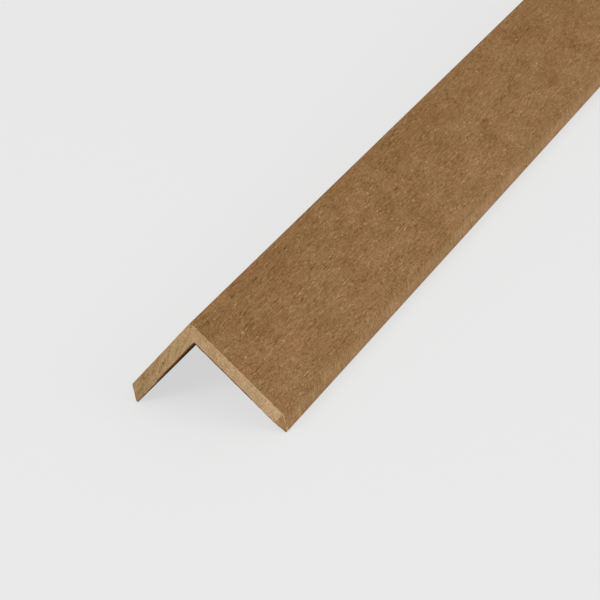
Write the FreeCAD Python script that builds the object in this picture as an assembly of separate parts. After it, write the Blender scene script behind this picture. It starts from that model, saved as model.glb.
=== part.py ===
import FreeCAD, Part
import math
import os

# Corner guard moulding: an angle of one section, extruded and sawn square at both ends.
# It lies like a tent on the thin edges of its two legs, with the outside corner as the ridge.
# X runs along the length, Y across and Z up, from the floor under the middle of the ridge.

# Driving dimensions, in millimetres and degrees
stock_length = 1200.0
leg_length = 50.0        # outside corner to the rounded edge of a leg
wall = 6.0               # thickness of both legs
corner_angle = 90.0      # between the two legs
bevel_angle = 45.0       # between a leg's bevel and its inner face
corner_radius = 2.0      # outside corner
root_radius = 0.5        # inside corner
shoulder_radius = 1.0    # where an outer face turns into its bevel
tip_radius = 0.6         # thin edge of a leg

# Values worked out from the driving dimensions
lean = math.radians(corner_angle / 2)        # each leg's lean from the upright
bevel = math.radians(bevel_angle)
bevel_run = wall / math.tan(bevel)           # how far the bevel runs back along the outer face
tip_run = tip_radius / math.tan(bevel / 2)   # how far the tip's rounding runs back along the inner face
sharp_leg = leg_length - tip_radius + tip_run
ridge_height = tip_radius + (leg_length - tip_radius) * math.cos(lean) + (wall - tip_radius) * math.sin(lean)


def leg_point(side, along, inward):
    """A point of the section: along a leg from the sharp ridge, and inward from its outer face."""
    y = side * (along * math.sin(lean) - inward * math.cos(lean))
    z = ridge_height - along * math.cos(lean) - inward * math.sin(lean)
    return FreeCAD.Vector(-stock_length / 2, y, z)


def section_corners():
    """The section's sharp corners in order, each with the radius that rounds it."""
    right, left = -1, 1
    return [
        (leg_point(right, 0, 0), corner_radius),
        (leg_point(right, sharp_leg - bevel_run, 0), shoulder_radius),
        (leg_point(right, sharp_leg, wall), tip_radius),
        (leg_point(right, wall / math.tan(lean), wall), root_radius),
        (leg_point(left, sharp_leg, wall), tip_radius),
        (leg_point(left, sharp_leg - bevel_run, 0), shoulder_radius),
    ]


def rounded_corner(before, corner, after, radius):
    """The start, middle and end of the arc that rounds one corner."""
    back = (before - corner).normalize()
    ahead = (after - corner).normalize()
    half_turn = back.getAngle(ahead) / 2
    bisector = (back + ahead).normalize()
    run = radius / math.tan(half_turn)
    to_arc = radius / math.sin(half_turn) - radius
    return corner + back * run, corner + bisector * to_arc, corner + ahead * run


def section_wire():
    """The closed outline of the section: straight faces joined by tangent arcs."""
    corners = section_corners()
    count = len(corners)
    arcs = []
    for index, (corner, radius) in enumerate(corners):
        before = corners[index - 1][0]
        after = corners[(index + 1) % count][0]
        arcs.append(rounded_corner(before, corner, after, radius))
    edges = []
    for index, (start, middle, end) in enumerate(arcs):
        next_start = arcs[(index + 1) % count][0]
        edges.append(Part.Arc(start, middle, end).toShape())
        edges.append(Part.LineSegment(end, next_start).toShape())
    return Part.Wire(edges)


def corner_moulding():
    """The whole length, extruded from its section."""
    section = Part.Face(section_wire())
    return section.extrude(FreeCAD.Vector(stock_length, 0, 0))


os.makedirs("parts", exist_ok=True)
moulding = corner_moulding()
moulding.exportStep("parts/corner_moulding.step")

section_area = moulding.Volume / stock_length
litres = moulding.Volume / 1e6
box = moulding.BoundBox
print(f"section {section_area:.1f} mm2, volume {litres:.4f} litres, ridge {box.ZMax:.2f} mm high")
print(f"solids {len(moulding.Solids)}, valid {moulding.isValid()}, lowest point {box.ZMin:.4f} mm")
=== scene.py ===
import bpy
import bmesh
import math
from mathutils import Matrix, Vector


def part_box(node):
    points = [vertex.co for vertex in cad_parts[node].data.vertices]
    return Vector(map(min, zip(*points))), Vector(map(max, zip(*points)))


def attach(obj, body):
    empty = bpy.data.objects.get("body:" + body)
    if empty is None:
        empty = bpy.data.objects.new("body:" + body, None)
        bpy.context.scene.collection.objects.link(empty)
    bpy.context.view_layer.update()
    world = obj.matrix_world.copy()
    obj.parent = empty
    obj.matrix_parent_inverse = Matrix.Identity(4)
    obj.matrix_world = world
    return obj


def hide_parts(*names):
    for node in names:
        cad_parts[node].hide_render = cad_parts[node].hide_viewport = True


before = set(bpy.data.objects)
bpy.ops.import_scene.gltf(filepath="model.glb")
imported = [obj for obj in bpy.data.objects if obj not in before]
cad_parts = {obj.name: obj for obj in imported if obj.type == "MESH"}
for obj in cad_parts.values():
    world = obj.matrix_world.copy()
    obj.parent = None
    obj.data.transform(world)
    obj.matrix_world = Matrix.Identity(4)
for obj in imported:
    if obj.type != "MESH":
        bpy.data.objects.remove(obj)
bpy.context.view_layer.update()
scene = bpy.context.scene
scene.view_settings.view_transform = "Standard"
print("frame loaded with", ", ".join(sorted(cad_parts)))


# Camera, at the photograph's viewing angle
photoCamera = {
    "place": (-1.0877, -0.3939, 0.4109),  # metres
    "azimuth": 305.41,                    # degrees, 0 looks along +Y
    "elevation": 30.61,                   # degrees above the floor
    "roll": 10.07,                        # degrees, leaning to the right
    "lens": 127.7,                        # millimetres
    "sensor": 36.0,
    "nearest": 0.01,                      # metres, what is closer isn't drawn
}


def addCamera(look):
    bpy.ops.object.select_all(action="DESELECT")
    bpy.ops.object.camera_add(location=look["place"])
    camera = bpy.context.object
    turn = Matrix.Rotation(math.radians(look["azimuth"]), 3, "Z")
    tip = Matrix.Rotation(math.radians(90 - look["elevation"]), 3, "X")
    lean = Matrix.Rotation(math.radians(-look["roll"]), 3, "Z")
    camera.rotation_euler = (turn @ tip @ lean).to_euler()
    camera.data.lens = look["lens"]
    camera.data.sensor_width = look["sensor"]
    camera.data.clip_start = look["nearest"]
    scene.camera = camera


addCamera(photoCamera)
print("camera placed")


# Finishes of the wood-plastic composite.
# Colours are 8-bit screen values. A layer's size is its grain along X, Y and Z in metres,
# and it shifts the colour's three channels by its tone, from one end of its span to the other.
# A layer of particles gives each grain one tone, and the other layers run smoothly.
# A layer's share makes it weaker in some places and stronger in others, and its tilt is in degrees.
# A drift shifts the colour from one place to another along an axis, with its span in metres.
# Tints multiply the colour in patches, from the first tint to the second.
# Roughness is given for the hollows and for the high spots, and bump is the height between them.
fibreClusters = {"size": (0.008, 0.004, 0.004), "span": (0.35, 0.65), "tone": (0.3, 1.6)}
outerFace = {
    "name": "outerFace",
    "colour": (139, 103, 64),
    "layers": [
        # fine particles, and long strands
        {"size": (0.0004, 0.0002, 0.0002), "span": (0, 1), "tone": (-21, 21), "particles": True},
        {"size": (0.0140, 0.0003, 0.0003), "span": (0.35, 0.65), "tone": (-6, 6)},
        # dark and pale fibres, in clusters
        {"size": (0.0021, 0.0002, 0.0002), "span": (0.13, 0.10), "tone": (0, -22), "particles": True,
         "share": fibreClusters},
        {"size": (0.0019, 0.0002, 0.0002), "span": (0.90, 0.93), "tone": (0, 19), "particles": True,
         "share": fibreClusters},
        # pale specks
        {"size": (0.0007, 0.0005, 0.0005), "span": (0.990, 0.994), "tone": (0, 34), "particles": True},
        # mottle, and streaks along the length
        {"size": (0.012, 0.009, 0.009), "span": (0.30, 0.70), "tone": (-6, 6)},
        {"size": (0.090, 0.008, 0.008), "span": (0.30, 0.70), "tone": (-3, 3)},
    ],
    "drift": {"axis": "Z", "span": (0.034, 0.0085), "tone": (-2, 5)},  # paler towards the bevel
    "tints": ((1.02, 0.99, 0.98), (0.985, 1.008, 0.98)),               # reddish and olive
    "tintSize": 0.014,
    "bump": 0.00005,
    "roughness": (0.88, 0.74),
    "gloss": 0.15,
}
bevelFace = {
    "name": "bevelFace",
    "colour": (162, 125, 86),
    "layers": [
        # fine particles
        {"size": (0.0005, 0.0003, 0.0003), "span": (0, 1), "tone": (-16, 16), "particles": True},
        # dark, pale and soft planing marks, across the length
        {"size": (0.0005, 0.0025, 0.0025), "span": (0.14, 0.08), "tone": (0, -15), "particles": True},
        {"size": (0.0006, 0.0030, 0.0030), "span": (0.86, 0.92), "tone": (0, 13), "particles": True},
        {"size": (0.0008, 0.0040, 0.0040), "span": (0.30, 0.70), "tone": (-6, 6)},
        # mottle
        {"size": (0.012, 0.009, 0.009), "span": (0.30, 0.70), "tone": (-5, 5)},
    ],
    "drift": {"axis": "Z", "span": (0.0042, 0.0070), "tone": (1, -13)},  # darker towards the outer face
    "tints": ((1.02, 0.99, 0.98), (0.985, 1.008, 0.98)),
    "tintSize": 0.006,
    "bump": 0.00004,
    "roughness": (0.88, 0.76),
    "gloss": 0.15,
}
# inner faces: darker than the outer faces partly as the unbrushed skin of the extrusion, and partly
# painted shade of the hollow under the angle
innerSkinAndShade = {
    "name": "innerSkinAndShade",
    "colour": (96, 66, 41),
    "layers": [
        # particles, streaks along the length, and mottle
        {"size": (0.0020, 0.0007, 0.0007), "span": (0, 1), "tone": (-10, 10), "particles": True},
        {"size": (0.090, 0.0025, 0.0025), "span": (0.30, 0.70), "tone": (-7, 7)},
        {"size": (0.015, 0.012, 0.012), "span": (0.30, 0.70), "tone": (-5, 5)},
    ],
    "tints": ((1.03, 0.985, 0.97), (0.98, 1.012, 0.99)),
    "tintSize": 0.010,
    "bump": 0.00005,
    "roughness": (0.82, 0.66),
    "gloss": 0.0,
}
sawnEnd = {
    "name": "sawnEnd",
    "colour": (175, 143, 105),
    "layers": [
        # saw marks, and torn fibres that show most on the left leg
        {"size": (0.004, 0.0008, 0.0090), "span": (0.32, 0.68), "tone": (-6, 6), "tilt": 32},
        {"size": (0.004, 0.0012, 0.0080), "span": (0.56, 0.32), "tone": (5, -16), "tilt": 32,
         "share": {"axis": "Y", "span": (-0.020, 0.015), "tone": (0.2, 1)}},
        # particles, and dark specks
        {"size": (0.0006, 0.0004, 0.0006), "span": (0, 1), "tone": (-14, 14), "particles": True},
        {"size": (0.0007, 0.0006, 0.0007), "span": (0.02, 0.01), "tone": (0, -22), "particles": True},
        # mottle
        {"size": (0.006, 0.005, 0.005), "span": (0.30, 0.70), "tone": (-4, 4)},
    ],
    "drift": {"axis": "Y", "span": (-0.03, 0.03), "tone": (15, -16)},  # paler on the right leg
    "tints": ((1.02, 0.99, 0.985), (0.98, 1.01, 0.955)),
    "tintSize": 0.004,
    "bump": 0.00005,
    "roughness": (0.92, 0.82),
    "gloss": 0.15,
}
chippedCorner = {
    "name": "chippedCorner",
    "colour": (163, 129, 91),
    "layers": [
        # particles, and dark and pale patches
        {"size": (0.0008, 0.0007, 0.0010), "span": (0, 1), "tone": (-12, 12), "particles": True},
        {"size": (0.003, 0.003, 0.003), "span": (0.30, 0.70), "tone": (-14, 10)},
    ],
    "tints": ((1.06, 0.975, 0.90), (0.99, 1.01, 0.95)),
    "tintSize": 0.003,
    "bump": 0.00008,
    "roughness": (0.92, 0.82),
    "gloss": 0.15,
}


def addNode(tree, kind, inputs, **settings):
    node = tree.nodes.new(kind)
    for name, value in settings.items():
        setattr(node, name, value)
    for name, value in inputs.items():
        if isinstance(value, bpy.types.NodeSocket):
            tree.links.new(value, node.inputs[name])
        else:
            node.inputs[name].default_value = value
    return node


def spread(tree, value, span, result):
    limits = {"From Min": span[0], "From Max": span[1], "To Min": result[0], "To Max": result[1]}
    return addNode(tree, "ShaderNodeMapRange", {"Value": value, **limits}).outputs["Result"]


def combine(tree, operation, first, second):
    return addNode(tree, "ShaderNodeMath", {0: first, 1: second}, operation=operation).outputs["Value"]


# screen colour, shifted by a tone and turned into linear light
def shade(screenColour, tone):
    def light(channel):
        level = min(max(channel + tone, 0), 255) / 255
        return ((level + 0.055) / 1.055) ** 2.4 if level > 0.04045 else level / 12.92

    return (*(light(channel) for channel in screenColour), 1)


def driftTone(tree, place, drift):
    axes = addNode(tree, "ShaderNodeSeparateXYZ", {"Vector": place})
    return spread(tree, axes.outputs[drift["axis"]], drift["span"], drift["tone"])


def layerTone(tree, place, layer):
    tilt = math.radians(layer.get("tilt", 0))
    spot = addNode(
        tree, "ShaderNodeMapping",
        {"Vector": place, "Scale": layer["size"], "Rotation": (tilt, 0, 0)},
        vector_type="TEXTURE").outputs["Vector"]
    if layer.get("particles"):
        cells = addNode(tree, "ShaderNodeTexVoronoi", {"Vector": spot, "Scale": 1}).outputs["Color"]
        value = addNode(tree, "ShaderNodeSeparateColor", {"Color": cells}).outputs["Red"]
    else:
        cloud = {"Vector": spot, "Scale": 1, "Detail": 2, "Roughness": 0.55}
        value = addNode(tree, "ShaderNodeTexNoise", cloud).outputs["Fac"]
    tone = spread(tree, value, layer["span"], layer["tone"])
    if "share" in layer:
        shareTone = driftTone if "axis" in layer["share"] else layerTone
        tone = combine(tree, "MULTIPLY", tone, shareTone(tree, place, layer["share"]))
    return tone


def makeFinish(look):
    colourReach = 60            # tones that the colour ramp covers, to each side of the plain colour
    colourStops = 5
    tintStops = (0.35, 0.65)    # noise values of the first and the second tint
    reliefReach = 30            # tones of the deepest hollow and the highest spot
    material = bpy.data.materials.new(look["name"])
    material.use_nodes = True
    tree = material.node_tree
    shader = tree.nodes["Principled BSDF"]
    place = addNode(tree, "ShaderNodeTexCoord", {}).outputs["Object"]

    # layers added up, then turned into a colour: the middle of the ramp is the plain colour
    tones = [layerTone(tree, place, layer) for layer in look["layers"]]
    if "drift" in look:
        tones.append(driftTone(tree, place, look["drift"]))
    total = tones[0]
    for tone in tones[1:]:
        total = combine(tree, "ADD", total, tone)
    onRamp = spread(tree, total, (-colourReach, colourReach), (0, 1))
    ramp = addNode(tree, "ShaderNodeValToRGB", {"Fac": onRamp})
    stops = ramp.color_ramp.elements
    while len(stops) < colourStops:
        stops.new(0.5)
    for index, stop in enumerate(stops):
        position = index / (colourStops - 1)
        stop.position = position
        stop.color = shade(look["colour"], colourReach * (2 * position - 1))

    # patches of tint
    cloud = {"Vector": place, "Scale": 1 / look["tintSize"], "Detail": 1}
    patch = addNode(tree, "ShaderNodeTexNoise", cloud)
    tint = addNode(tree, "ShaderNodeValToRGB", {"Fac": patch.outputs["Fac"]})
    for stop, position, colour in zip(tint.color_ramp.elements, tintStops, look["tints"]):
        stop.position = position
        stop.color = (*colour, 1)
    colour = addNode(
        tree, "ShaderNodeMix", {"Factor": 1, "A": ramp.outputs["Color"], "B": tint.outputs["Color"]},
        data_type="RGBA", blend_type="MULTIPLY")
    tree.links.new(colour.outputs["Result"], shader.inputs["Base Color"])

    # pale grain stands a little higher and is smoother than dark grain
    height = spread(tree, total, (-reliefReach, reliefReach), (0, 1))
    tree.links.new(spread(tree, height, (0, 1), look["roughness"]), shader.inputs["Roughness"])
    relief = addNode(
        tree, "ShaderNodeBump", {"Height": height, "Strength": 1, "Distance": look["bump"]})
    tree.links.new(relief.outputs["Normal"], shader.inputs["Normal"])
    shader.inputs["Specular IOR Level"].default_value = look["gloss"]
    return material


# The moulding: one angle, sawn square at both ends, with a chipped corner at the near end
moulding = {
    "wall": 0.006,              # metres, as are all the sizes here
    "ridgeRadius": 0.002,       # outside corner
    "shoulderRadius": 0.001,    # outer face into bevel
    "tipRadius": 0.0006,        # thin edge of a leg
    "rootRadius": 0.0005,       # inside corner
    "arcSegments": 8,           # round the ridge and the root
    "tipSegments": 6,           # round a thin edge, and half as many round a shoulder
    "legCuts": 95,              # across each face of a leg
    "bevelCuts": 16,            # across each bevel
    "middleRings": 24,          # along the length, apart from the end rings
    "endRings": (0.00025, 0.0006, 0.0013, 0.0025, 0.0045, 0.008, 0.013),
    "rimWidth": 0.00025,        # crumbled edge round each sawn end
    "rimWear": 0.00018,         # deepest crumble
    "rimGrain": 0.0012,         # size of the crumbs
    "shadeRimWidth": 0.0005,       # painted shade: dark strip on a sawn end along the inner faces, near the root
    "shadeRimReach": 0.020,        # and how far it goes to each side, before it narrows to the rim
    "sawDepth": 0.00008,        # marks that the saw left on the ends
    "sawGrain": 0.0009,
    "sawStretch": 7,            # marks are longer than wide by this much
    "sawTilt": 32,              # degrees from upright
    "chipAlong": 0.0062,        # chipped corner, back along the leg from its thin edge
    "chipDepth": 0.0007,        # and in along the length
    "chipCuts": 2,              # across each triangle of the chip
    "chipWear": 0.0002,
    "chipGrain": 0.0010,
    "chipGlintWidth": 0.0005,          # painted highlight along the chip's edge at the bevel
    "smoothAngle": 30,          # degrees, sharper edges stay crisp
    "finishes": [outerFace, bevelFace, innerSkinAndShade, sawnEnd, chippedCorner],
}
sameSpot = 1e-6                 # metres, points closer than this are one
legSlope = math.sqrt(0.5)       # both legs lean 45 degrees


def legPlacer(spec, low, high):
    ridge = high.z + spec["ridgeRadius"] * (math.sqrt(2) - 1)

    # side is 1 for the left leg, and the point is given from the sharp ridge
    def legPoint(side, along, inward):
        return Vector((low.x, side * (along - inward) * legSlope, ridge - (along + inward) * legSlope))

    return legPoint


def sharpLeg(spec, high):
    return high.y / legSlope + spec["wall"]  # from the ridge to the thin edge, before they are rounded


def sectionCorners(spec, low, high):
    legPoint = legPlacer(spec, low, high)
    leg = sharpLeg(spec, high)
    wall = spec["wall"]
    return [
        ("ridge", legPoint(1, 0, 0)),
        ("shoulder", legPoint(1, leg - wall, 0)),
        ("tip", legPoint(1, leg, wall)),
        ("root", legPoint(1, wall, wall)),
        ("tip", legPoint(-1, leg, wall)),
        ("shoulder", legPoint(-1, leg - wall, 0)),
    ]


def pick(obj, kind, test):
    bpy.ops.mesh.select_mode(type=kind)
    bpy.ops.mesh.select_all(action="DESELECT")
    mesh = bmesh.from_edit_mesh(obj.data)
    parts = {"VERT": mesh.verts, "EDGE": mesh.edges, "FACE": mesh.faces}[kind]
    for part in parts:
        if test(part):
            part.select_set(True)
    mesh.select_flush_mode()
    bmesh.update_edit_mesh(obj.data)


def pickPoint(obj, place):
    pick(obj, "VERT", lambda vert: (vert.co - place).length < sameSpot)


def roundCorner(obj, corner, radius, halfAngle, segments):
    half = math.radians(halfAngle)
    pickPoint(obj, corner)
    bpy.ops.mesh.bevel(
        offset_type="OFFSET", offset=radius / math.tan(half), segments=segments,
        profile=(1 - 0.5 / (1 + math.sin(half))) ** 2,  # a round arc at any corner angle
        affect="VERTICES")


def cutEdges(obj, shortest, cuts):
    pick(obj, "EDGE", lambda edge: edge.calc_length() > shortest)
    bpy.ops.mesh.subdivide(number_cuts=cuts)


def drawSection(spec, low, high):
    corners = sectionCorners(spec, low, high)

    # six-sided plate, pulled to the section's sharp corners
    bpy.ops.object.select_all(action="DESELECT")
    bpy.ops.mesh.primitive_circle_add(
        vertices=len(corners), radius=high.z / 2, fill_type="NGON",
        location=(low.x, 0, high.z / 2), rotation=(0, math.pi / 2, 0))
    obj = bpy.context.object
    obj.name = "corner_moulding_finish"
    bpy.ops.object.transform_apply(location=True, rotation=True, scale=True)
    places = [vert.co.copy() for vert in obj.data.vertices]
    bpy.ops.object.mode_set(mode="EDIT")
    for place, (name, corner) in zip(places, corners):
        pickPoint(obj, place)
        bpy.ops.transform.translate(value=corner - place)

    # radius of each corner, half of the angle between its faces, and segments
    rounding = {
        "ridge": (spec["ridgeRadius"], 45, spec["arcSegments"]),
        "shoulder": (spec["shoulderRadius"], 67.5, spec["tipSegments"] // 2),
        "tip": (spec["tipRadius"], 22.5, spec["tipSegments"]),
        "root": (spec["rootRadius"], 45, spec["arcSegments"]),
    }
    for name, corner in corners:
        roundCorner(obj, corner, *rounding[name])

    # outline alone, with points across the legs' faces and then across the bevels
    bpy.ops.mesh.select_all(action="SELECT")
    bpy.ops.mesh.delete(type="ONLY_FACE")
    cutEdges(obj, 5 * spec["wall"], spec["legCuts"])
    cutEdges(obj, 0.5 * spec["wall"], spec["bevelCuts"])
    return obj


# distances of the rings from the near end
def ringStations(spec, length):
    near = spec["endRings"]
    far = [length - ring for ring in reversed(near)]
    pitch = (far[0] - near[-1]) / spec["middleRings"]
    middle = [near[-1] + pitch * index for index in range(1, spec["middleRings"])]
    return [*near, *middle, *far, length]


def drawLength(spec, length):
    reached = 0
    bpy.ops.mesh.select_all(action="SELECT")
    for station in ringStations(spec, length):
        bpy.ops.mesh.extrude_region_move(TRANSFORM_OT_translate={"value": (station - reached, 0, 0)})
        reached = station


def closeEnd(obj, spec, end, tipCorner):
    def atEnd(edge):
        return all(abs(vert.co.x - end) < sameSpot for vert in edge.verts)

    # narrow rim
    pick(obj, "EDGE", atEnd)
    bpy.ops.mesh.edge_face_add()
    bpy.ops.mesh.inset(thickness=spec["rimWidth"], depth=0)
    bpy.ops.mesh.delete(type="ONLY_FACE")

    # grid of columns from the outer faces to the inner ones, starting at a thin edge
    pick(obj, "EDGE", lambda edge: atEnd(edge) and len(edge.link_faces) == 1)
    mesh = bmesh.from_edit_mesh(obj.data)
    loop = [vert for vert in mesh.verts if vert.select]
    mesh.select_history.clear()
    mesh.select_history.add(min(loop, key=lambda vert: (vert.co.yz - tipCorner.yz).length))
    columnHeight = spec["bevelCuts"] + 1 + spec["tipSegments"] // 2
    bpy.ops.mesh.fill_grid(span=columnHeight, offset=0)


def markVerts(obj, name, test=None):
    if test:
        pick(obj, "VERT", test)
    obj.vertex_groups.new(name=name)
    obj.vertex_groups.active_index = obj.vertex_groups[name].index
    bpy.ops.object.vertex_group_assign()


def coverFaces(obj, finish, spec, test=None):
    if test:
        pick(obj, "FACE", test)
    obj.active_material_index = spec["finishes"].index(finish)
    bpy.ops.object.material_slot_assign()


def coverMoulding(obj, spec, low, high):
    ridge = legPlacer(spec, low, high)(1, 0, 0)
    bevelStart = high.y - spec["shoulderRadius"] / 3  # partway round the shoulder

    def onEnd(face):
        x = face.calc_center_median().x
        return min(x - low.x, high.x - x) < spec["rimWidth"]

    def onBevel(face):
        return abs(face.calc_center_median().y) > bevelStart

    # painted shade: a dark strip where a sawn end meets an inner face, wider near the root
    def onShadedInnerRim(face):
        middle = face.calc_center_median()
        inward = (ridge.z - middle.z - abs(middle.y)) * legSlope
        width = spec["shadeRimWidth"] if abs(middle.y) < spec["shadeRimReach"] else spec["rimWidth"]
        return onEnd(face) and inward > spec["wall"] - width

    coverFaces(obj, outerFace, spec, lambda face: face.normal.z > 0)
    coverFaces(obj, innerSkinAndShade, spec, lambda face: face.normal.z <= 0)
    coverFaces(obj, bevelFace, spec, onBevel)
    coverFaces(obj, sawnEnd, spec, onEnd)
    # the sawn ends' inner edges take the inner finish, as painted shade
    coverFaces(obj, innerSkinAndShade, spec, onShadedInnerRim)


def chipCorner(obj, spec, low, high):
    legPoint = legPlacer(spec, low, high)
    leg = sharpLeg(spec, high)
    wall = spec["wall"]
    shoulder = legPoint(-1, leg - wall, 0)
    innerEdge = legPoint(-1, leg - spec["chipAlong"], wall)
    tip = legPoint(-1, leg, wall) + Vector((spec["chipDepth"], 0, 0))
    facing = (tip - shoulder).cross(innerEdge - shoulder).normalized()
    if facing.x > 0:
        facing = -facing

    # cut face, filled with small triangles and with crisp edges
    bpy.ops.mesh.select_all(action="SELECT")
    bpy.ops.mesh.bisect(plane_co=shoulder, plane_no=facing, clear_outer=True, threshold=sameSpot)
    pick(obj, "EDGE", lambda edge: len(edge.link_faces) == 1)
    bpy.ops.mesh.mark_sharp()
    bpy.ops.mesh.edge_face_add()
    coverFaces(obj, chippedCorner, spec)
    bpy.ops.mesh.quads_convert_to_tris(quad_method="BEAUTY", ngon_method="BEAUTY")
    bpy.ops.mesh.subdivide(number_cuts=spec["chipCuts"])
    markVerts(obj, "chip")

    # painted highlight: a pale strip where the chip meets the bevel, which faces -Y
    def onChipGlint(face):
        gap = (face.calc_center_median() - shoulder).dot(facing)
        return face.normal.y < -0.9 and abs(gap) < spec["chipGlintWidth"]

    coverFaces(obj, sawnEnd, spec, onChipGlint)


def roughen(obj, name, grain, depth, guide=None):
    texture = bpy.data.textures.new(name, "CLOUDS")
    texture.noise_scale = grain
    wear = obj.modifiers.new(name, "DISPLACE")
    wear.texture = texture
    wear.vertex_group = name
    wear.mid_level = 0
    wear.strength = -depth      # inward only
    wear.texture_coords = "OBJECT" if guide else "LOCAL"
    wear.texture_coords_object = guide
    bpy.ops.object.modifier_apply(modifier=name)


def wearEnds(obj, spec, low, high):
    def atEnd(vert):
        return min(vert.co.x - low.x, high.x - vert.co.x) < sameSpot

    # at an end, and also on a face that runs along the length
    def onRim(vert):
        return atEnd(vert) and any(abs(face.normal.x) < 0.5 for face in vert.link_faces)

    markVerts(obj, "rim", onRim)
    markVerts(obj, "saw", lambda vert: atEnd(vert) and not onRim(vert))
    bpy.ops.object.mode_set(mode="OBJECT")

    # a stretched and tilted empty draws the clouds out into saw marks
    bpy.ops.object.empty_add(rotation=(math.radians(spec["sawTilt"]), 0, 0))
    guide = bpy.context.object
    guide.scale.z = spec["sawStretch"]
    bpy.ops.object.select_all(action="DESELECT")
    obj.select_set(True)
    bpy.context.view_layer.objects.active = obj
    bpy.context.view_layer.update()
    roughen(obj, "saw", spec["sawGrain"], spec["sawDepth"], guide)
    roughen(obj, "rim", spec["rimGrain"], spec["rimWear"])
    roughen(obj, "chip", spec["chipGrain"], spec["chipWear"])
    bpy.data.objects.remove(guide)
    obj.vertex_groups.clear()


# Layout of the map that the finishes are baked through.
# The near stretch and the sawn ends get the most room for their size.
bakeMap = {
    "name": "OFBake",
    "nearRings": 12,            # end of the near stretch, counted in rings along the length
    "nearBand": (0.62, 1.00),   # shares of the map's height
    "farBand": (0.32, 0.61),
    "innerBand": (0.21, 0.31),
    "endBand": (0.00, 0.20),
    "dropWeight": 1.4,          # room for the upright bevels, beside that for the sloping faces
    "endFacing": 0.5,           # a face that looks along X by more than this is on a sawn end
    "innerFacing": -0.2,        # and one that looks down by more than this is an inner face
    "margin": 0.004,            # inside each island's place
}


def unrollMoulding(obj, spec, layout, low, high):
    length = high.x - low.x
    near = ringStations(spec, length)[layout["nearRings"]]
    margin = layout["margin"]
    weight = layout["dropWeight"]

    # shares run from 0 to 1 across an island's place on the map
    def onMap(columns, band, share, shareUp):
        left, right = columns[0] + margin, columns[1] - margin
        bottom, top = band[0] + margin, band[1] - margin
        return left + (right - left) * share, bottom + (top - bottom) * shareUp

    # the ends lie side by side, and the ridge and the root run along the middle of their bands
    def unrolled(face, point):
        side = math.copysign(0.5, face.center.y)
        along = point.x - low.x
        drop = high.z - point.z
        if abs(face.normal.x) > layout["endFacing"]:
            half = (0, 0.5) if face.center.x < 0 else (0.5, 1)
            across = (point.y - low.y) / (high.y - low.y)
            return onMap(half, layout["endBand"], across, point.z / high.z)
        if face.normal.z < layout["innerFacing"]:
            girth = (abs(point.y) + drop) / (high.y + high.z)
            return onMap((0, 1), layout["innerBand"], along / length, 0.5 + side * girth)
        girth = (abs(point.y) + weight * drop) / (high.y + weight * high.z)
        if face.center.x < low.x + near:
            return onMap((0, 1), layout["nearBand"], along / near, 0.5 + side * girth)
        return onMap((0, 1), layout["farBand"], (along - near) / (length - near), 0.5 + side * girth)

    mesh = obj.data
    places = mesh.uv_layers.new(name=layout["name"]).uv
    for face in mesh.polygons:
        for corner in face.loop_indices:
            point = mesh.vertices[mesh.loops[corner].vertex_index].co
            places[corner].vector = unrolled(face, point)


def buildMoulding(spec):
    low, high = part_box("corner_moulding")
    obj = drawSection(spec, low, high)
    drawLength(spec, high.x - low.x)
    leftTip = legPlacer(spec, low, high)(1, sharpLeg(spec, high), spec["wall"])
    for end in (low.x, high.x):
        closeEnd(obj, spec, end, leftTip)
    bpy.ops.mesh.select_all(action="SELECT")
    bpy.ops.mesh.normals_make_consistent(inside=False)
    for finish in spec["finishes"]:
        obj.data.materials.append(makeFinish(finish))
    coverMoulding(obj, spec, low, high)
    chipCorner(obj, spec, low, high)
    wearEnds(obj, spec, low, high)
    bpy.ops.object.shade_smooth_by_angle(angle=math.radians(spec["smoothAngle"]))
    unrollMoulding(obj, spec, bakeMap, low, high)
    return obj


body = buildMoulding(moulding)
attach(body, "root")
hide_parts("corner_moulding")
print("moulding modelled with", len(body.data.polygons), "faces")


# Studio: pale floor, even sky and two large soft lamps,
# one beside the moulding and one before its near end
studio = {
    "floorSize": 14.0,              # metres
    "floorDrop": 0.0001,            # below the thin edges that the moulding lies on
    "floorTone": (232, 232, 232),   # screen value of the open floor and of the sky
    "floorSeen": 0.82,              # paleness of the lit floor to the camera
    "floorBounce": 0.70,            # and to the light that it throws back
    "shadowLift": 0.78,             # how far the floor's shadows are lightened
    "skyLight": 0.60,
    "lamps": [                      # places in metres, power in watts
        {"place": (-0.35, -2.60, 1.85), "aim": (-0.35, 0.0, 0.02), "size": 1.6, "power": 33.0},
        {"place": (-2.60, 0.75, 1.90), "aim": (-0.60, 0.0, 0.02), "size": 1.4, "power": 36.0},
    ],
}


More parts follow.
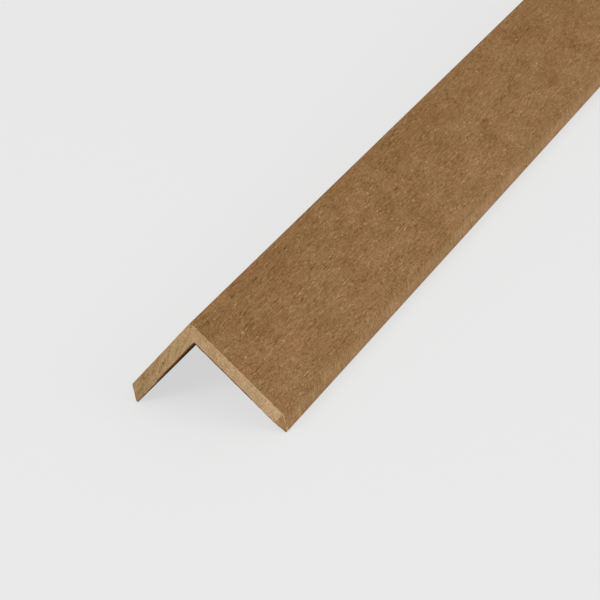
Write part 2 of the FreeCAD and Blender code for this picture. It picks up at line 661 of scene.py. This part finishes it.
# 1 for camera rays, reflections and rays through glass, and 0 for the rays that only carry light
def seenByEye(tree):
    rays = addNode(tree, "ShaderNodeLightPath", {}).outputs
    shiny = combine(tree, "MAXIMUM", rays["Is Glossy Ray"], rays["Is Transmission Ray"])
    return combine(tree, "MAXIMUM", rays["Is Camera Ray"], shiny)


def addFloor(look):
    bpy.ops.object.select_all(action="DESELECT")
    bpy.ops.mesh.primitive_plane_add(size=look["floorSize"], location=(0, 0, -look["floorDrop"]))
    floor = bpy.context.object
    floor.name = "studio_floor"
    material = bpy.data.materials.new("studioFloor")
    material.use_nodes = True
    tree = material.node_tree
    shader = tree.nodes["Principled BSDF"]
    eye = seenByEye(tree)
    paleness = spread(tree, eye, (0, 1), (look["floorBounce"], look["floorSeen"]))
    tree.links.new(paleness, shader.inputs["Base Color"])
    shader.inputs["Roughness"].default_value = 1.0
    shader.inputs["Specular IOR Level"].default_value = 0.0
    glow = addNode(tree, "ShaderNodeEmission", {"Color": shade(look["floorTone"], 0)})
    lift = spread(tree, eye, (0, 1), (0, look["shadowLift"]))
    blend = addNode(
        tree, "ShaderNodeMixShader",
        {0: lift, 1: shader.outputs["BSDF"], 2: glow.outputs["Emission"]})
    tree.links.new(blend.outputs["Shader"], tree.nodes["Material Output"].inputs["Surface"])
    floor.data.materials.append(material)


def addSky(look):
    world = bpy.data.worlds.new("studioSky")
    scene.world = world
    world.use_nodes = True
    tree = world.node_tree
    background = tree.nodes["Background"]
    seenLight = shade(look["floorTone"], 0)[0]
    strength = spread(tree, seenByEye(tree), (0, 1), (look["skyLight"], seenLight))
    tree.links.new(strength, background.inputs["Strength"])
    background.inputs["Color"].default_value = (1, 1, 1, 1)


def addLamp(look):
    place = Vector(look["place"])
    facing = Vector(look["aim"]) - place
    bpy.ops.object.select_all(action="DESELECT")
    bpy.ops.object.light_add(
        type="AREA", location=place, rotation=facing.to_track_quat("-Z", "Y").to_euler())
    lamp = bpy.context.object.data
    lamp.size = look["size"]
    lamp.energy = look["power"]


addFloor(studio)
addSky(studio)
for lamp in studio["lamps"]:
    addLamp(lamp)
print("studio lit")
